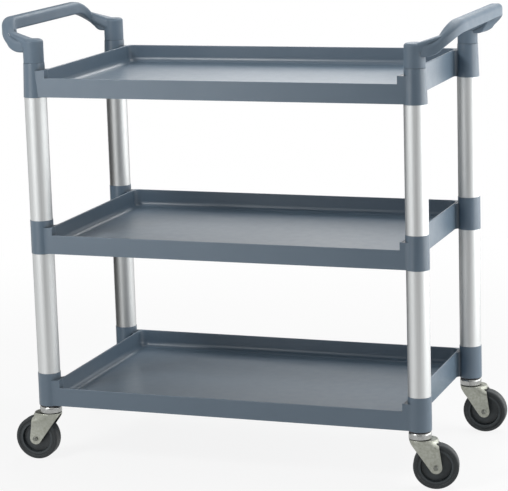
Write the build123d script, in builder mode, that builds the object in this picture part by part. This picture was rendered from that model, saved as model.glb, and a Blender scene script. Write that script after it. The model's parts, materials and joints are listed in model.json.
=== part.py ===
from math import acos
from math import cos
from math import sqrt
from math import tan
import os

from build123d import *

os.makedirs("parts", exist_ok=True)

# Frame: +X along the length, +Y to the back, +Z up, origin on the floor under the centre

# Layout of the cart
post_pitch_x = 874.0
post_pitch_y = 452.0
shelf_pitch = 354.0

# Corner posts and the round uprights between them
post_height = 76.0
post_base_radius = 26.2
post_top_radius = 25.9
crown_post_top_radius = 23.4
post_edge_round = 0.7
tube_radius = 25.0
tube_wall = 1.5
spigot_length = 36.0
spigot_wall = 3.0
spigot_clearance = 0.1

# Tray of each shelf, heights above the underside of the posts
end_wall_setback = 28.0
side_wall_reach = 21.0
wall = 4.0
wall_draft = 2.0
wall_foot = 1.5
rim_height = 61.5
lip_height = 44.0
lip_end_gap = 0.3
floor_height = 20.0
floor_thickness = 4.0
floor_cove = 14.0
corner_round = 20.0
rim_round = 1.5
neck_half_width = 15.0
neck_fillet = 11.0
post_blend = 30.0
post_blend_sink = 0.3
rib_thickness = 3.0
rib_depth = 10.0
cross_rib_count = 9
long_rib_count = 4

# Handles at the two short ends
leg_radius = 22.8
leg_height = 52.5
leg_edge_round = 7.0
arm_rise = 37.5
knee_reach = 40.0
knee_fill_start = 5.0
knee_fill_share = 0.5
knee_fill_inset = 0.6
knee_side_inset = 0.2
knee_end_inset = 4.0
grip_reach = 77.5
grip_rise = 82.0
grip_corner_inset = 23.0
grip_width = 31.0
grip_depth = 28.0
grip_edge_round = 10.0
grip_foot_round = 4.0
knee_radius = 28.0
corner_radius = 56.0
channel_width = 21.0
channel_roof = 5.0
key_radius = 15.0
key_height = 16.0
key_clearance = 0.15

# Bolts that hold the handles down
bolt_radius = 3.0
bolt_head_radius = 6.0
bolt_head_height = 5.0
bolt_bite = 18.0
bolt_clearance = 0.15
bolt_web = 8.0

# Casters
wheel_radius = 50.0
wheel_trail = 34.0
tyre_width = 30.0
tyre_depth = 12.0
tyre_shoulder = 4.5
core_width = 27.0
core_rim = 4.0
core_web = 11.0
hub_radius = 12.0
hub_side_play = 0.5
running_clearance = 0.05
sleeve_radius = 6.0
axle_radius = 3.0
axle_clearance = 0.1
axle_across_flats = 10.0
axle_head_height = 4.0
axle_nut_height = 5.0
axle_end_beyond_nut = 1.0
fork_inside = 36.0
fork_sheet = 2.5
crown_radius = 27.0
crown_front = 24.5
crown_back = 39.0
crown_gap = 8.5
crown_edge_round = 1.8
skirt_drop = 8.0
leg_end_radius = 13.5
leg_shoulder_front = 20.5
leg_shoulder_back = 38.0
straight_leg_rise = 24.0
skin_steps = 4
wheel_room = 4.0
ball_radius = 3.0
ball_ring_radius = 18.0
ball_count = 16
ball_play = 0.15
cup_radius = 25.0
cup_roof = 10.7
cup_skirt = 3.0
cup_skirt_gap = 2.0
cup_shoulder = 6.0
socket_flange = 2.0
socket_flange_radius = 24.8
socket_length = 45.0
socket_clearance = 0.1
stem_radius = 5.5
stem_clearance = 0.1
stem_length = 38.0
stem_head_radius = 9.0
stem_head_height = 4.0
stem_head_gap = 0.3
stem_tip_chamfer = 1.5
stem_groove_depth = 0.8
stem_groove_width = 3.0

# Sizes that follow from the ones above
post_x = post_pitch_x / 2
post_y = post_pitch_y / 2
crown_underside = 2 * wheel_radius + crown_gap
crown_top = crown_underside + fork_sheet
ball_centre = crown_top + ball_play + ball_radius
cup_underside = ball_centre + ball_radius + ball_play
cup_top = cup_underside + cup_roof
caster_height = cup_top + socket_flange
straight_leg_top = wheel_radius + straight_leg_rise
bottom_base = caster_height
middle_base = bottom_base + shelf_pitch
top_base = middle_base + shelf_pitch
tube_length = shelf_pitch - post_height
tray_length = post_pitch_x - 2 * end_wall_setback
tray_width = post_pitch_y + 2 * side_wall_reach
spigot_radius = tube_radius - tube_wall - spigot_clearance
bore_radius = spigot_radius - spigot_wall
handle_seam = top_base + post_height
fork_half = fork_inside / 2 + fork_sheet
crown_half = (crown_front + crown_back) / 2
crown_shift = (crown_back - crown_front) / 2
core_radius = wheel_radius - tyre_depth


# One corner post with its spigots, standing on its own axis
def corner_post(base, top_radius, spigot_above, spigot_below):
    with BuildPart() as post:
        with Locations((0, 0, base + post_height / 2)):
            Cone(post_base_radius, top_radius, post_height)
        fillet(post.edges().filter_by(GeomType.CIRCLE), radius=post_edge_round)
        if spigot_above:
            with BuildSketch(Plane.XY.offset(base + post_height / 2)):
                Circle(spigot_radius)
            extrude(amount=post_height / 2 + spigot_length)
        if spigot_below:
            with BuildSketch(Plane.XY.offset(base - spigot_length)):
                Circle(spigot_radius)
            extrude(amount=spigot_length + post_height / 2)
    return post.part


# The tray of one shelf with its ribs and the necks that reach out to the posts
def tray(base, top_radius):
    foot = base + wall_foot
    floor = base + floor_height
    rim = base + rim_height
    floor_length = tray_length - 2 * wall - 2 * wall_draft
    floor_width = tray_width - 2 * wall - 2 * wall_draft
    hollow_depth = rim_height - floor_height
    with BuildPart() as body:
        # Outside block
        with BuildSketch(Plane.XY.offset(foot)):
            Rectangle(tray_length, tray_width)
        extrude(amount=rim_height - wall_foot)
        # Hollow with leaning walls
        with BuildSketch(Plane.XY.offset(floor)):
            RectangleRounded(floor_length, floor_width, corner_round)
        with BuildSketch(Plane.XY.offset(rim)):
            RectangleRounded(tray_length - 2 * wall, tray_width - 2 * wall, corner_round)
        loft(mode=Mode.SUBTRACT)
        floor_faces = body.faces().filter_by_position(Axis.Z, floor - 0.1, floor + 0.1)
        fillet(floor_faces.sort_by(SortBy.AREA)[-1].edges(), radius=floor_cove)
        rim_faces = body.faces().filter_by_position(Axis.Z, rim - 0.1, rim + 0.1)
        fillet(rim_faces.sort_by(SortBy.AREA)[-1].edges(), radius=rim_round)
        # Low front lip with a rounded top edge
        lip = base + lip_height
        lip_share = (rim_height - lip_height) / hollow_depth
        lip_outer = -tray_width / 2
        lip_inner = lip_outer + wall + wall_draft * lip_share
        lip_half_length = tray_length / 2 - wall - wall_draft * lip_share - lip_end_gap
        with BuildSketch(Plane.YZ.offset(-lip_half_length)):
            with BuildLine():
                Polyline(
                    (lip_outer, lip - rim_round),
                    (lip_outer - wall, lip - rim_round),
                    (lip_outer - wall, rim + wall),
                    (lip_inner + corner_round, rim + wall),
                    (lip_inner + corner_round, lip - rim_round),
                    (lip_inner, lip - rim_round),
                )
                RadiusArc((lip_inner, lip - rim_round), (lip_inner - rim_round, lip), -rim_round)
                Line((lip_inner - rim_round, lip), (lip_outer + rim_round, lip))
                RadiusArc((lip_outer + rim_round, lip), (lip_outer, lip - rim_round), -rim_round)
            make_face()
        extrude(amount=2 * lip_half_length, mode=Mode.SUBTRACT)
        # Open underside with a grid of ribs
        under_height = floor_height - floor_thickness - wall_foot
        with BuildSketch(Plane.XY.offset(foot)):
            Rectangle(tray_length - 2 * wall, tray_width - 2 * wall)
        extrude(amount=under_height, mode=Mode.SUBTRACT)
        with BuildSketch(Plane.XY.offset(floor - floor_thickness - rib_depth)):
            with GridLocations(tray_length / (cross_rib_count + 1), 0, cross_rib_count, 1):
                Rectangle(rib_thickness, tray_width - wall)
            with GridLocations(0, tray_width / (long_rib_count + 1), 1, long_rib_count):
                Rectangle(tray_length - wall, rib_thickness)
        extrude(amount=rib_depth + floor_thickness / 2)
        # Necks out to the posts
        with BuildSketch(Plane.XY.offset(foot)) as neck:
            strip_length = neck_half_width + side_wall_reach + 2 * neck_fillet
            with Locations((tray_length / 2 - wall / 2, tray_width / 2 - strip_length / 2)):
                Rectangle(wall, strip_length)
            neck_x = post_x - end_wall_setback / 2 - wall / 2
            neck_y = post_y + (side_wall_reach - neck_half_width) / 2
            with Locations((neck_x, neck_y)):
                Rectangle(end_wall_setback + wall, side_wall_reach + neck_half_width)
            inner_corner = neck.vertices().sort_by_distance((tray_length / 2, post_y - neck_half_width))[0]
            fillet(inner_corner, radius=neck_fillet)
            # Hollow curve from the side wall into the post
            taper = (post_base_radius - top_radius) * rim_height / post_height
            round_radius = post_base_radius - taper - post_blend_sink
            reach = round_radius + post_blend
            lift = side_wall_reach + post_blend
            along = sqrt(reach * reach - lift * lift)
            post_centre = Vector(post_x, post_y)
            blend_centre = post_centre + Vector(-along, lift)
            to_post = Vector(along, -lift) / reach
            middle = (to_post + Vector(0, -1)).normalized()
            wall_point = blend_centre + Vector(0, -post_blend)
            post_point = blend_centre + to_post * post_blend
            with BuildLine():
                ThreePointArc(wall_point, blend_centre + middle * post_blend, post_point)
                Polyline(post_point, post_centre, post_centre + Vector(-along, 0), wall_point)
            make_face()
            mirror(about=Plane.XZ)
            mirror(about=Plane.YZ)
        extrude(amount=rim_height - wall_foot - rim_round / 2)
    return body.part


# A shelf is a tray joined to four posts, with the posts bored through
def shelf(base, top_radius, spigot_above, spigot_below):
    with BuildPart() as whole:
        add(tray(base, top_radius))
        with GridLocations(post_pitch_x, post_pitch_y, 2, 2):
            add(corner_post(base, top_radius, spigot_above, spigot_below))
    return whole.part


# Bottom shelf: spigots up, caster bores down
with BuildPart() as bottom_shelf:
    add(shelf(bottom_base, post_top_radius, True, False))
    with BuildSketch(Plane.XY.offset(bottom_base - 1)):
        with GridLocations(post_pitch_x, post_pitch_y, 2, 2):
            Circle(bore_radius)
    extrude(amount=post_height + spigot_length + 2, mode=Mode.SUBTRACT)
bottom_shelf.part.label = "bottom_shelf"
export_step(bottom_shelf.part, "parts/bottom_shelf.step")

# Middle shelf: spigots up and down
with BuildPart() as middle_shelf:
    add(shelf(middle_base, post_top_radius, True, True))
    with BuildSketch(Plane.XY.offset(middle_base - spigot_length - 1)):
        with GridLocations(post_pitch_x, post_pitch_y, 2, 2):
            Circle(bore_radius)
    extrude(amount=post_height + 2 * spigot_length + 2, mode=Mode.SUBTRACT)
middle_shelf.part.label = "middle_shelf"
export_step(middle_shelf.part, "parts/middle_shelf.step")

# Top shelf: spigots down, a web and a key for the handles above
with BuildPart() as top_shelf:
    add(shelf(top_base, crown_post_top_radius, False, True))
    with BuildSketch(Plane.XY.offset(handle_seam - bolt_web)):
        with GridLocations(post_pitch_x, post_pitch_y, 2, 2):
            Circle(key_radius)
    extrude(amount=bolt_web + key_height)
    with BuildSketch(Plane.XY.offset(top_base - spigot_length - 1)):
        with GridLocations(post_pitch_x, post_pitch_y, 2, 2):
            Circle(bore_radius)
    extrude(amount=1 + spigot_length + post_height - bolt_web, mode=Mode.SUBTRACT)
    with BuildSketch(Plane.XY.offset(top_base)):
        with GridLocations(post_pitch_x, post_pitch_y, 2, 2):
            Circle(bolt_radius + bolt_clearance)
    extrude(amount=post_height + key_height + 1, mode=Mode.SUBTRACT)
top_shelf.part.label = "top_shelf"
export_step(top_shelf.part, "parts/top_shelf.step")

# Corners of the cart in the order of the names
corners = {
    "front_left": (-post_x, -post_y),
    "front_right": (post_x, -post_y),
    "back_left": (-post_x, post_y),
    "back_right": (post_x, post_y),
}

# Uprights: one tube per corner in each of the two bays
for bay, bay_base in (("lower", bottom_base), ("upper", middle_base)):
    for corner, place in corners.items():
        with BuildPart() as upright:
            with BuildSketch(Plane.XY.offset(bay_base + post_height)):
                with Locations(place):
                    Circle(tube_radius)
                    Circle(tube_radius - tube_wall, mode=Mode.SUBTRACT)
            extrude(amount=tube_length)
        upright.part.label = f"{bay}_upright_{corner}"
        export_step(upright.part, f"parts/{bay}_upright_{corner}.step")


# Straight runs joined by tangent arcs
def bent_path(points, radii):
    runs = []
    start = points[0]
    for before, bend, after, radius in zip(points, points[1:], points[2:], radii):
        into = (bend - before).normalized()
        out = (after - bend).normalized()
        turn = acos(into.dot(out))
        first = bend - into * radius * tan(turn / 2)
        last = bend + out * radius * tan(turn / 2)
        middle = bend + (out - into).normalized() * radius * (1 / cos(turn / 2) - 1)
        runs.append(Edge.make_line(start, first))
        runs.append(Edge.make_three_point_arc(first, middle, last))
        start = last
    runs.append(Edge.make_line(start, points[-1]))
    return runs


# Handle for the right end: two legs, two arms and the grip, hollow from below
def end_handle():
    arm_level = handle_seam + arm_rise
    grip_level = handle_seam + grip_rise
    grip_x = post_x + grip_reach
    corner_y = post_y - grip_corner_inset
    points = [
        Vector(post_x, -post_y, arm_level),
        Vector(post_x + knee_reach, -post_y, arm_level),
        Vector(grip_x, -corner_y, grip_level),
        Vector(grip_x, corner_y, grip_level),
        Vector(post_x + knee_reach, post_y, arm_level),
        Vector(post_x, post_y, arm_level),
    ]
    runs = bent_path(points, (knee_radius, corner_radius, corner_radius, knee_radius))
    spine = Wire(runs)
    guide = spine.moved(Location((0, 0, shelf_pitch)))
    hollow_spine = Wire(runs[2:-2])
    hollow_guide = hollow_spine.moved(Location((0, 0, shelf_pitch)))
    hollow_dir = (points[2] - points[1]).normalized()
    across = Vector(0, 0, 1).cross(hollow_dir).normalized()
    start_plane = Plane(origin=points[0], x_dir=(0, 1, 0), z_dir=(1, 0, 0))
    fill_top = handle_seam + leg_height - knee_fill_inset
    fill_foot = arm_level - grip_depth / 2 + knee_fill_inset
    fill_start = Vector(post_x + knee_fill_start, -post_y, (fill_top + fill_foot) / 2)
    fill_end = points[1] + (points[2] - points[1]) * knee_fill_share
    knee_half_width = sqrt(leg_radius * leg_radius - knee_fill_start * knee_fill_start)
    knee_width = 2 * (knee_half_width - knee_side_inset)
    fill_width = grip_width - 2 * knee_end_inset
    fill_depth = grip_depth - 2 * knee_end_inset
    hollow_plane = Plane(origin=hollow_spine.start_point(), x_dir=across, z_dir=hollow_dir)
    with BuildPart() as handle:
        with BuildSketch(start_plane) as section:
            Rectangle(grip_width, grip_depth)
            fillet(section.vertices().group_by(Axis.Y)[-1], radius=grip_edge_round)
            fillet(section.vertices().group_by(Axis.Y)[0], radius=grip_foot_round)
        sweep(sections=section.sketch, path=spine, binormal=guide)
        # Thicker knees where the arms leave the legs
        with BuildPart(mode=Mode.PRIVATE) as knee:
            with BuildSketch(Plane(origin=fill_start, x_dir=(0, 1, 0), z_dir=(1, 0, 0))):
                RectangleRounded(knee_width, fill_top - fill_foot, grip_edge_round)
            with BuildSketch(Plane(origin=fill_end, x_dir=across, z_dir=hollow_dir)):
                RectangleRounded(fill_width, fill_depth, grip_edge_round - knee_end_inset)
            loft(ruled=True)
        add(knee.part)
        mirror(knee.part, about=Plane.XZ)
        hollow_height = grip_depth - channel_roof + 1
        with BuildSketch(hollow_plane) as channel:
            with Locations((0, grip_depth / 2 - channel_roof - hollow_height / 2)):
                Rectangle(channel_width, hollow_height)
        sweep(sections=channel.sketch, path=hollow_spine, binormal=hollow_guide, mode=Mode.SUBTRACT)
        with GridLocations(0, post_pitch_y, 1, 2):
            with Locations((post_x, 0, handle_seam)):
                add(handle_leg())
        with BuildSketch(Plane.XY.offset(handle_seam)):
            with Locations((post_x, -post_y), (post_x, post_y)):
                Circle(key_radius + key_clearance)
        extrude(amount=key_height + 1, mode=Mode.SUBTRACT)
        with BuildSketch(Plane.XY.offset(handle_seam)):
            with Locations((post_x, -post_y), (post_x, post_y)):
                Circle(bolt_radius + bolt_clearance)
        extrude(amount=key_height + bolt_bite + 2, mode=Mode.SUBTRACT)
    return handle.part


# One leg of a handle, standing on its own axis
def handle_leg():
    with BuildPart() as leg:
        with BuildSketch():
            Circle(leg_radius)
        extrude(amount=leg_height)
        fillet(leg.edges().group_by(Axis.Z)[-1], radius=leg_edge_round)
        fillet(leg.edges().group_by(Axis.Z)[0], radius=post_edge_round)
    return leg.part


# Right handle
with BuildPart() as right_handle:
    add(end_handle())
right_handle.part.label = "right_handle"
export_step(right_handle.part, "parts/right_handle.step")

# Left handle is its mirror image
with BuildPart() as left_handle:
    mirror(right_handle.part, about=Plane.YZ)
left_handle.part.label = "left_handle"
export_step(left_handle.part, "parts/left_handle.step")

# Handle bolts, heads below the webs of the top shelf's posts
with BuildPart() as handle_bolts:
    with BuildSketch(Plane.XY.offset(handle_seam - bolt_web - bolt_head_height)):
        with GridLocations(post_pitch_x, post_pitch_y, 2, 2):
            Circle(bolt_head_radius)
    extrude(amount=bolt_head_height)
    with BuildSketch(Plane.XY.offset(handle_seam - bolt_web - bolt_head_height / 2)):
        with GridLocations(post_pitch_x, post_pitch_y, 2, 2):
            Circle(bolt_radius)
    extrude(amount=bolt_head_height / 2 + bolt_web + key_height + bolt_bite)
handle_bolts.part.label = "handle_bolts"
export_step(handle_bolts.part, "parts/handle_bolts.step")


# Skin of the fork: a round crown that flows into two flat sides, with the trail along +X
def fork_skin(inset):
    drop = crown_underside - straight_leg_top
    foot = wheel_radius - leg_end_radius - 1
    long_half = 2 * wheel_trail
    with BuildPart() as skin:
        for step in range(skin_steps + 1):
            share = step / skin_steps
            blend = share * share * (3 - 2 * share)
            with BuildSketch(Plane.XY.offset(crown_underside - share * drop)):
                with Locations((crown_shift + blend * (wheel_trail - crown_shift), 0)):
                    Ellipse(
                        crown_half + blend * (long_half - crown_half) - inset,
                        crown_radius + blend * (fork_half - crown_radius) - inset,
                    )
        loft()
        with BuildSketch(Plane.XY.offset(foot)):
            with Locations((wheel_trail, 0)):
                Ellipse(long_half - inset, fork_half - inset)
        extrude(amount=straight_leg_top - foot)
    return skin.part


# Fork pressed from sheet, open at the front, the back and below
def fork_shape():
    with BuildPart() as fork:
        add(fork_skin(0))
        add(fork_skin(fork_sheet), mode=Mode.SUBTRACT)
        with BuildSketch(Plane.XY.offset(crown_underside)):
            with Locations((crown_shift, 0)):
                Ellipse(crown_half, crown_radius)
        extrude(amount=fork_sheet)
        fillet(fork.edges().group_by(Axis.Z)[-1], radius=crown_edge_round)
        # Side outline of the legs
        skirt = crown_top - skirt_drop
        with BuildSketch(Plane.XZ):
            with BuildLine():
                CenterArc((wheel_trail, wheel_radius), leg_end_radius, 0, 360)
                Line((-leg_shoulder_front, skirt), (leg_shoulder_back, skirt))
                Line((-crown_front, crown_top), (crown_back, crown_top))
            make_hull()
        extrude(amount=crown_radius + 1, both=True, mode=Mode.INTERSECT)
        # Room for the wheel to turn
        with BuildSketch(Plane.XZ):
            with Locations((wheel_trail, wheel_radius)):
                Circle(wheel_radius + wheel_room)
        extrude(amount=fork_inside / 2 - hub_side_play, both=True, mode=Mode.SUBTRACT)
        # Holes for the stem and the axle
        with BuildSketch(Plane.XY.offset(crown_underside - 1)):
            Circle(stem_radius + stem_clearance)
        extrude(amount=fork_sheet + 2, mode=Mode.SUBTRACT)
        with BuildSketch(Plane.XZ):
            with Locations((wheel_trail, wheel_radius)):
                Circle(axle_radius + axle_clearance)
        extrude(amount=crown_radius, both=True, mode=Mode.SUBTRACT)
    return fork.part


# Tyre, turned about the Y axis
def tyre_shape():
    half = tyre_width / 2
    with BuildPart() as tyre:
        with BuildSketch():
            with BuildLine():
                Polyline(
                    (core_radius, -core_width / 2),
                    (core_radius + tyre_depth * 0.25, -core_width / 2),
                    (core_radius + tyre_depth * 0.4, -half),
                    (wheel_radius, -half),
                    (wheel_radius, half),
                    (core_radius + tyre_depth * 0.4, half),
                    (core_radius + tyre_depth * 0.25, core_width / 2),
                    (core_radius, core_width / 2),
                    close=True,
                )
            make_face()
        revolve(axis=Axis.Y)
        tread_edges = tyre.edges().filter_by(GeomType.CIRCLE).sort_by(SortBy.RADIUS)[-2:]
        fillet(tread_edges, radius=tyre_shoulder)
    return tyre.part


# Wheel core: hub, web and rim in one moulding, turned about the Y axis
def core_shape():
    hub_half = fork_inside / 2 - hub_side_play
    bore = sleeve_radius + running_clearance
    rim_inside = core_radius - core_rim
    with BuildPart() as core:
        with BuildSketch():
            with BuildLine():
                Polyline(
                    (bore, -hub_half),
                    (hub_radius, -hub_half),
                    (hub_radius + 1, -core_web / 2),
                    (rim_inside - 2, -core_web / 2),
                    (rim_inside, -core_width / 2),
                    (core_radius, -core_width / 2),
                    (core_radius, core_width / 2),
                    (rim_inside, core_width / 2),
                    (rim_inside - 2, core_web / 2),
                    (hub_radius + 1, core_web / 2),
                    (hub_radius, hub_half),
                    (bore, hub_half),
                    close=True,
                )
            make_face()
        revolve(axis=Axis.Y)
    return core.part


# Sleeve clamped between the fork legs, along Y
def sleeve_shape():
    with BuildPart() as sleeve:
        with BuildSketch(Plane.XZ):
            Circle(sleeve_radius)
            Circle(axle_radius + axle_clearance, mode=Mode.SUBTRACT)
        extrude(amount=fork_inside / 2 - axle_clearance, both=True)
    return sleeve.part


# Axle bolt with its hexagon head on the -Y side
def axle_bolt_shape():
    tail = fork_half + axle_nut_height + axle_end_beyond_nut
    with BuildPart() as bolt:
        with BuildSketch(Plane.XZ.offset(fork_half)):
            RegularPolygon(axle_across_flats / 2, 6, major_radius=False)
        extrude(amount=axle_head_height)
        chamfer(bolt.faces().sort_by(Axis.Y)[0].edges(), length=axle_head_height * 0.2)
        with BuildSketch(Plane.XZ.offset(fork_half + axle_head_height / 2)):
            Circle(axle_radius)
        extrude(amount=-(fork_half + axle_head_height / 2 + tail))
    return bolt.part


# Axle nut on the +Y side
def axle_nut_shape():
    with BuildPart() as nut:
        with BuildSketch(Plane.XZ.offset(-fork_half)):
            RegularPolygon(axle_across_flats / 2, 6, major_radius=False)
        extrude(amount=-axle_nut_height)
        chamfer(nut.faces().sort_by(Axis.Y)[-1].edges(), length=axle_nut_height * 0.2)
        with BuildSketch(Plane.XZ):
            Circle(axle_radius + axle_clearance / 2)
        extrude(amount=-(fork_half + axle_nut_height), mode=Mode.SUBTRACT)
    return nut.part


# Upper race: a plated cup around the balls, turned about the stem
def cup_shape():
    skirt_foot = crown_top + cup_skirt_gap
    hole = stem_radius + stem_clearance / 2
    with BuildPart() as cup:
        with BuildSketch(Plane.XZ):
            with BuildLine():
                Polyline(
                    (hole, cup_underside),
                    (cup_radius - cup_skirt, cup_underside),
                    (cup_radius - cup_skirt, skirt_foot),
                    (cup_radius, skirt_foot),
                    (cup_radius, cup_top),
                    (hole, cup_top),
                    close=True,
                )
            make_face()
        revolve(axis=Axis.Z)
        top_edges = cup.edges().filter_by(GeomType.CIRCLE).group_by(Axis.Z)[-1]
        fillet(top_edges.sort_by(SortBy.RADIUS)[-1], radius=cup_shoulder)
    return cup.part


# Ring of balls between the cup and the crown
def balls_shape():
    with BuildPart() as balls:
        with Locations((0, 0, ball_centre)):
            with PolarLocations(ball_ring_radius, ball_count):
                Sphere(ball_radius)
    return balls.part


# Stem with a riveted head under the crown and a groove near its tip
def stem_shape():
    head_top = crown_underside - stem_head_gap
    tip = cup_top + stem_length
    groove = tip - 3 * stem_groove_width
    with BuildPart() as stem:
        with BuildSketch(Plane.XZ):
            with BuildLine():
                Polyline(
                    (0, head_top - stem_head_height),
                    (stem_head_radius - stem_tip_chamfer, head_top - stem_head_height),
                    (stem_head_radius, head_top - stem_head_height + stem_tip_chamfer),
                    (stem_head_radius, head_top),
                    (stem_radius, head_top),
                    (stem_radius, groove),
                    (stem_radius - stem_groove_depth, groove),
                    (stem_radius - stem_groove_depth, groove + stem_groove_width),
                    (stem_radius, groove + stem_groove_width),
                    (stem_radius, tip - stem_tip_chamfer),
                    (stem_radius - stem_tip_chamfer, tip),
                    (0, tip),
                    close=True,
                )
            make_face()
        revolve(axis=Axis.Z)
    return stem.part


# Socket: a plug in the post's bore with a flange below and a blind hole for the stem
def socket_shape():
    with BuildPart() as socket:
        with BuildSketch(Plane.XY.offset(caster_height - socket_flange)):
            Circle(socket_flange_radius)
        extrude(amount=socket_flange)
        with BuildSketch(Plane.XY.offset(caster_height - socket_flange / 2)):
            Circle(bore_radius - socket_clearance)
        extrude(amount=socket_length + socket_flange / 2)
        with BuildSketch(Plane.XY.offset(caster_height - socket_flange)):
            Circle(stem_radius + stem_clearance)
        extrude(amount=stem_length + stem_clearance, mode=Mode.SUBTRACT)
    return socket.part


# Direction in which each caster trails at rest, in degrees from +X
trail_angles = {
    "front_left": 183.0,
    "front_right": 12.6,
    "back_left": 176.0,
    "back_right": 2.6,
}

# Shapes of one caster, and whether they sit on the wheel's centre or on the stem's axis
caster_shapes = {
    "fork": (fork_shape(), False),
    "upper_race": (cup_shape(), False),
    "bearing_balls": (balls_shape(), False),
    "caster_stem": (stem_shape(), False),
    "caster_socket": (socket_shape(), False),
    "axle_bolt": (axle_bolt_shape(), True),
    "axle_nut": (axle_nut_shape(), True),
    "axle_sleeve": (sleeve_shape(), True),
    "wheel_core": (core_shape(), True),
    "tyre": (tyre_shape(), True),
}

# Four casters, each turned to its own rest direction
for corner, place in corners.items():
    on_stem = Location((place[0], place[1], 0), (0, 0, trail_angles[corner]))
    on_wheel = on_stem * Location((wheel_trail, 0, wheel_radius))
    for kind, (shape, at_wheel) in caster_shapes.items():
        with BuildPart() as caster_piece:
            with Locations(on_wheel if at_wheel else on_stem):
                add(shape)
        caster_piece.part.label = f"{kind}_{corner}"
        export_step(caster_piece.part, f"parts/{kind}_{corner}.step")
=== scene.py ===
import json
import math

import bpy
from mathutils import Matrix
from mathutils import Vector

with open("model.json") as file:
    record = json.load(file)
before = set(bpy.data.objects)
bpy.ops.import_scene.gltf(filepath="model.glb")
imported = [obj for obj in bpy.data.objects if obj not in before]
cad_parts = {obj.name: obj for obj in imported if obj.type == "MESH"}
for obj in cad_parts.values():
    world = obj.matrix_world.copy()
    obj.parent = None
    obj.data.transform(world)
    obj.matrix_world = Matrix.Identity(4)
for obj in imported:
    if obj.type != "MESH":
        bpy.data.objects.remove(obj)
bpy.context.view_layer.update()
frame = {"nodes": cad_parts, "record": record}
scene = bpy.context.scene

# Camera at the photograph's viewing angle, in degrees and metres, with its lens in pixels
photo_width = 508
focal_pixels = 2163.57
sensor_width = 36.0
camera_azimuth = 19.898
camera_elevation = 11.671
camera_roll = -1.729
camera_distance = 4.9549
camera_aim = Vector((0, 0, 0.45))
camera_aside = -0.0126
camera_raised = 0.0209

# Studio, in metres, degrees and watts
ambient_level = 0.03
white_share = 0.88
white_from = 0.8
white_to = 2.4
floor_radius = 7.0
floor_sides = 96
floor_drop = 0.0005
floor_colour = (0.86, 0.86, 0.86, 1)
card_colour = (0.06, 0.06, 0.06, 1)
white_colour = (1, 1, 1, 1)
upright_tilt = 90
softboxes = {
    "back_softbox": {
        "place": (-0.3, 3.0, 2.5), "aim": (-0.1, 0.0, 0.6), "size": (2.6, 1.6), "power": 25,
    },
    "back_right_softbox": {
        "place": (1.75, 2.1, 0.55), "aim": (0.4, 0.0, 0.55), "size": (2.0, 1.1), "power": 10,
    },
    "right_softbox": {
        "place": (2.3, 0.3, 0.6), "aim": (0.4, 0.0, 0.5), "size": (2.4, 1.2), "power": 33,
    },
    "low_left_softbox": {
        "place": (-1.7, -3.0, 0.5), "aim": (-0.3, -0.2, 0.6), "size": (1.6, 1.2), "power": 16,
    },
    "high_left_softbox": {
        "place": (-1.0, -1.6, 1.9), "aim": (-0.5, -0.2, 0.8), "size": (0.6, 0.6), "power": 21,
    },
    "top_softbox": {
        "place": (0.8, 0.4, 2.3), "aim": (0.2, 0.0, 0.9), "size": (1.2, 1.2), "power": 18,
    },
    "high_back_softbox": {
        "place": (-0.2, 2.2, 2.4), "aim": (0.0, 0.0, 0.6), "size": (1.4, 1.0), "power": 12,
    },
}
dark_cards = {
    "front_card": {"place": (0.6, -1.9, 0.4), "size": (1.9, 0.8), "turn": camera_azimuth},
    "back_card": {"place": (-2.15, 2.6, 0.5), "size": (2.7, 1.0), "turn": 0},
    "low_back_card": {"place": (-0.35, 1.25, 0.29), "size": (1.8, 0.58), "turn": 50},
    "high_back_card": {"place": (0.15, 2.5, 1.6), "size": (0.9, 0.8), "turn": 0},
    "left_grip_card": {"place": (-0.99, 0.42, 1.2), "size": (0.8, 0.5), "turn": 0},
    "left_card": {"place": (-0.62, 0.08, 0.5), "size": (0.44, 1.0), "turn": 90},
}

# Finishes: two screen colours from 0 to 255, and roughness where smooth and where dull
mouldings = {
    "shelf_plastic": {"first": (101, 118, 133), "second": (104, 121, 136), "smooth": 0.29, "dull": 0.35},
    "handle_plastic": {"first": (101, 118, 133), "second": (104, 121, 136), "smooth": 0.5, "dull": 0.58},
    "socket_plastic": {"first": (30, 31, 34), "second": (38, 39, 42), "smooth": 0.4, "dull": 0.55},
    "core_plastic": {"first": (46, 53, 56), "second": (56, 63, 66), "smooth": 0.42, "dull": 0.58},
}
platings = {
    "fork_zinc": {"first": (142, 144, 134), "second": (164, 166, 158), "smooth": 0.34, "dull": 0.48},
    "race_zinc": {"first": (150, 151, 149), "second": (172, 173, 171), "smooth": 0.22, "dull": 0.32},
    "axle_steel": {"first": (104, 106, 102), "second": (124, 126, 120), "smooth": 0.32, "dull": 0.44},
    "hidden_steel": {"first": (150, 150, 148), "second": (170, 170, 168), "smooth": 0.25, "dull": 0.35},
}
tubes = {
    "upright_aluminium": {"first": (186, 188, 188), "second": (197, 199, 199), "smooth": 0.46, "dull": 0.54},
}
tyres = {
    "tyre_rubber": {"first": (28, 33, 35), "second": (38, 44, 46), "smooth": 0.5, "dull": 0.7},
}
noise_low = 0.3
noise_high = 0.7
# Reach in metres and samples of the painted shade: ambient occlusion that darkens the plastics' colour in
# hollows and seams
painted_shade_reach = 0.012
painted_shade_samples = 8


def srgb(red, green, blue):
    """A colour given as screen values from 0 to 255, in the linear values that shaders take."""
    linear = []
    for value in (red, green, blue):
        share = value / 255
        linear.append(share / 12.92 if share <= 0.04045 else ((share + 0.055) / 1.055) ** 2.4)
    return (*linear, 1)


# Node helpers
def new_material(name):
    made = bpy.data.materials.new(name)
    made.use_nodes = True
    return made, made.node_tree, made.node_tree.nodes["Principled BSDF"]


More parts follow.
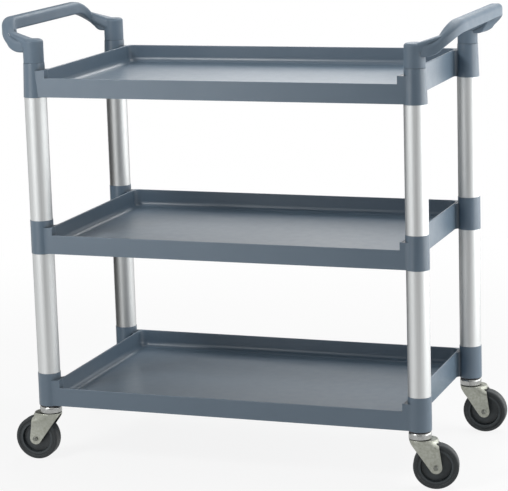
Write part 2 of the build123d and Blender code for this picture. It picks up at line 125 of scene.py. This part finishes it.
def noise(tree, scale, detail, stretch=(1, 1, 1)):
    """Noise in the part's own frame, in cycles per metre, finer along an axis with a larger stretch."""
    place = tree.nodes.new("ShaderNodeTexCoord")
    mapping = tree.nodes.new("ShaderNodeMapping")
    texture = tree.nodes.new("ShaderNodeTexNoise")
    mapping.inputs["Scale"].default_value = stretch
    texture.inputs["Scale"].default_value = scale
    texture.inputs["Detail"].default_value = detail
    tree.links.new(place.outputs["Object"], mapping.inputs["Vector"])
    tree.links.new(mapping.outputs["Vector"], texture.inputs["Vector"])
    return texture.outputs["Fac"]


def between(tree, factor, low, high):
    """A number that goes from low to high with the middle range of a noise."""
    spread = tree.nodes.new("ShaderNodeMapRange")
    spread.inputs["From Min"].default_value = noise_low
    spread.inputs["From Max"].default_value = noise_high
    spread.inputs["To Min"].default_value = low
    spread.inputs["To Max"].default_value = high
    tree.links.new(factor, spread.inputs["Value"])
    return spread.outputs["Result"]


def two_tone(tree, factor, first, second):
    """A colour that goes from first to second with the middle range of a noise."""
    ramp = tree.nodes.new("ShaderNodeValToRGB")
    ramp.color_ramp.elements[0].position = noise_low
    ramp.color_ramp.elements[0].color = srgb(*first)
    ramp.color_ramp.elements[1].position = noise_high
    ramp.color_ramp.elements[1].color = srgb(*second)
    tree.links.new(factor, ramp.inputs["Fac"])
    return ramp.outputs["Color"]


def paint_shade_in_hollows(tree, colour):
    """The colour, darker in hollows, in corners and along seams: shade painted into the colour by an ambient
    occlusion node.
    """
    hollow = tree.nodes.new("ShaderNodeAmbientOcclusion")
    hollow.samples = painted_shade_samples
    hollow.inputs["Distance"].default_value = painted_shade_reach
    tree.links.new(colour, hollow.inputs["Color"])
    return hollow.outputs["Color"]


def roughen(tree, shader, height, depth, strength):
    """Bump of a real depth in metres."""
    bump = tree.nodes.new("ShaderNodeBump")
    bump.inputs["Distance"].default_value = depth
    bump.inputs["Strength"].default_value = strength
    tree.links.new(height, bump.inputs["Height"])
    tree.links.new(bump.outputs["Normal"], shader.inputs["Normal"])


def make_matte(shader, colour):
    shader.inputs["Base Color"].default_value = colour
    shader.inputs["Roughness"].default_value = 1
    shader.inputs["Specular IOR Level"].default_value = 0


# Materials
def moulded_plastic(name, first, second, smooth, dull):
    """Satin moulding with a fine grain, faint clouds of colour, uneven gloss and shade painted into its
    colour in hollows and seams.
    """
    made, tree, shader = new_material(name)
    clouds = two_tone(tree, noise(tree, scale=9, detail=4), first, second)
    gloss = between(tree, noise(tree, scale=45, detail=3), smooth, dull)
    grain = noise(tree, scale=1100, detail=2)
    # Base colour with painted shade: darkened by ambient occlusion in hollows, corners and seams
    tree.links.new(paint_shade_in_hollows(tree, clouds), shader.inputs["Base Color"])
    tree.links.new(gloss, shader.inputs["Roughness"])
    roughen(tree, shader, grain, depth=0.0004, strength=0.12)
    return made


def drawn_aluminium(name, first, second, smooth, dull):
    """Anodised tube with fine lines along its length."""
    made, tree, shader = new_material(name)
    lines = noise(tree, scale=1, detail=3, stretch=(900, 900, 4))
    scratches = noise(tree, scale=1, detail=2, stretch=(1600, 1600, 6))
    tree.links.new(two_tone(tree, lines, first, second), shader.inputs["Base Color"])
    tree.links.new(between(tree, lines, smooth, dull), shader.inputs["Roughness"])
    shader.inputs["Metallic"].default_value = 1
    roughen(tree, shader, scratches, depth=0.0001, strength=0.1)
    return made


def plated_steel(name, first, second, smooth, dull):
    """Zinc plating: soft blotches a few millimetres across."""
    made, tree, shader = new_material(name)
    blotches = two_tone(tree, noise(tree, scale=160, detail=4), first, second)
    gloss = between(tree, noise(tree, scale=300, detail=3), smooth, dull)
    grain = noise(tree, scale=700, detail=3)
    tree.links.new(blotches, shader.inputs["Base Color"])
    tree.links.new(gloss, shader.inputs["Roughness"])
    shader.inputs["Metallic"].default_value = 1
    roughen(tree, shader, grain, depth=0.0002, strength=0.1)
    return made


def rubber(name, first, second, smooth, dull):
    """Dark grey tyre rubber, dusty in patches."""
    made, tree, shader = new_material(name)
    dust = noise(tree, scale=60, detail=5)
    grain = noise(tree, scale=900, detail=3)
    tree.links.new(two_tone(tree, dust, first, second), shader.inputs["Base Color"])
    tree.links.new(between(tree, dust, smooth, dull), shader.inputs["Roughness"])
    roughen(tree, shader, grain, depth=0.0004, strength=0.2)
    return made


def make_finishes():
    """One material for each slot of the record, under the slot's name."""
    made = {}
    kinds = (
        (moulded_plastic, mouldings),
        (drawn_aluminium, tubes),
        (plated_steel, platings),
        (rubber, tyres),
    )
    for make, looks in kinds:
        for name, look in looks.items():
            made[name] = make(name, **look)
    return made


def dress_nodes(finishes):
    """Every node takes the finish of its slot in the record."""
    for piece in frame["record"]["subparts"]:
        node = frame["nodes"][piece["node"]]
        node.data.materials.clear()
        node.data.materials.append(finishes[piece["material_slot"]])


# Studio
def seen_directly(tree):
    """One for the rays that show the background: from the camera, off gloss and through glass."""
    path = tree.nodes.new("ShaderNodeLightPath")
    seen = path.outputs["Is Camera Ray"]
    for kind in ("Is Glossy Ray", "Is Transmission Ray"):
        either = tree.nodes.new("ShaderNodeMath")
        either.operation = "MAXIMUM"
        tree.links.new(seen, either.inputs[0])
        tree.links.new(path.outputs[kind], either.inputs[1])
        seen = either.outputs["Value"]
    return seen


def set_world():
    """White to look at, with only a little light of its own."""
    world = bpy.data.worlds.new("studio")
    world.use_nodes = True
    tree = world.node_tree
    tree.nodes.clear()
    room = tree.nodes.new("ShaderNodeBackground")
    room.inputs["Color"].default_value = white_colour
    room.inputs["Strength"].default_value = ambient_level
    white = tree.nodes.new("ShaderNodeBackground")
    white.inputs["Color"].default_value = white_colour
    either = tree.nodes.new("ShaderNodeMixShader")
    output = tree.nodes.new("ShaderNodeOutputWorld")
    tree.links.new(seen_directly(tree), either.inputs["Fac"])
    tree.links.new(room.outputs["Background"], either.inputs[1])
    tree.links.new(white.outputs["Background"], either.inputs[2])
    tree.links.new(either.outputs["Shader"], output.inputs["Surface"])
    scene.world = world


def add_floor():
    """A round pale floor that keeps a faint shadow of the part and turns white further out."""
    bpy.ops.mesh.primitive_circle_add(
        vertices=floor_sides, radius=floor_radius, fill_type="NGON", location=(0, 0, -floor_drop)
    )
    floor = bpy.context.object
    floor.name = "floor"
    made, tree, shader = new_material("floor")
    make_matte(shader, floor_colour)
    white = tree.nodes.new("ShaderNodeEmission")
    place = tree.nodes.new("ShaderNodeNewGeometry")
    distance = tree.nodes.new("ShaderNodeVectorMath")
    distance.operation = "LENGTH"
    whiter = tree.nodes.new("ShaderNodeMapRange")
    whiter.interpolation_type = "SMOOTHSTEP"
    whiter.inputs["From Min"].default_value = white_from
    whiter.inputs["From Max"].default_value = white_to
    whiter.inputs["To Min"].default_value = white_share
    share = tree.nodes.new("ShaderNodeMath")
    share.operation = "MULTIPLY"
    either = tree.nodes.new("ShaderNodeMixShader")
    tree.links.new(place.outputs["Position"], distance.inputs[0])
    tree.links.new(distance.outputs["Value"], whiter.inputs["Value"])
    tree.links.new(seen_directly(tree), share.inputs[0])
    tree.links.new(whiter.outputs["Result"], share.inputs[1])
    tree.links.new(share.outputs["Value"], either.inputs["Fac"])
    tree.links.new(shader.outputs["BSDF"], either.inputs[1])
    tree.links.new(white.outputs["Emission"], either.inputs[2])
    tree.links.new(either.outputs["Shader"], tree.nodes["Material Output"].inputs["Surface"])
    floor.data.materials.append(made)


def add_dark_cards():
    """Standing cards that only gloss shows, as the dark side of a studio."""
    made, _, shader = new_material("dark_card")
    make_matte(shader, card_colour)
    for name, settings in dark_cards.items():
        bpy.ops.mesh.primitive_plane_add(size=1, location=settings["place"])
        card = bpy.context.object
        card.name = name
        card.scale = (*settings["size"], 1)
        card.rotation_euler = (math.radians(upright_tilt), 0, math.radians(settings["turn"]))
        card.visible_camera = False
        card.visible_diffuse = False
        card.visible_shadow = False
        card.data.materials.append(made)


def add_softboxes():
    for name, box in softboxes.items():
        lamp = bpy.data.lights.new(name, "AREA")
        lamp.shape = "RECTANGLE"
        lamp.size, lamp.size_y = box["size"]
        lamp.energy = box["power"]
        softbox = bpy.data.objects.new(name, lamp)
        softbox.location = box["place"]
        towards = Vector(box["aim"]) - Vector(box["place"])
        softbox.rotation_euler = towards.to_track_quat("-Z", "Y").to_euler()
        softbox.visible_camera = False
        scene.collection.objects.link(softbox)


def add_camera():
    azimuth = math.radians(camera_azimuth)
    elevation = math.radians(camera_elevation)
    roll = math.radians(camera_roll)
    level = math.cos(elevation)
    back = Vector((math.sin(azimuth) * level, -math.cos(azimuth) * level, math.sin(elevation)))
    right = Vector((0, 0, 1)).cross(back).normalized()
    up = back.cross(right)
    rolled_right = math.cos(roll) * right + math.sin(roll) * up
    rolled_up = math.cos(roll) * up - math.sin(roll) * right
    place = camera_aim + camera_distance * back + camera_aside * rolled_right + camera_raised * rolled_up
    lens = bpy.data.cameras.new("camera")
    lens.sensor_width = sensor_width
    lens.lens = sensor_width * focal_pixels / photo_width
    camera = bpy.data.objects.new("camera", lens)
    turned = Matrix((rolled_right, rolled_up, back)).transposed().to_4x4()
    camera.matrix_world = Matrix.Translation(place) @ turned
    scene.collection.objects.link(camera)
    scene.camera = camera


dress_nodes(make_finishes())
set_world()
add_floor()
add_dark_cards()
add_softboxes()
add_camera()
scene.view_settings.view_transform = "Standard"
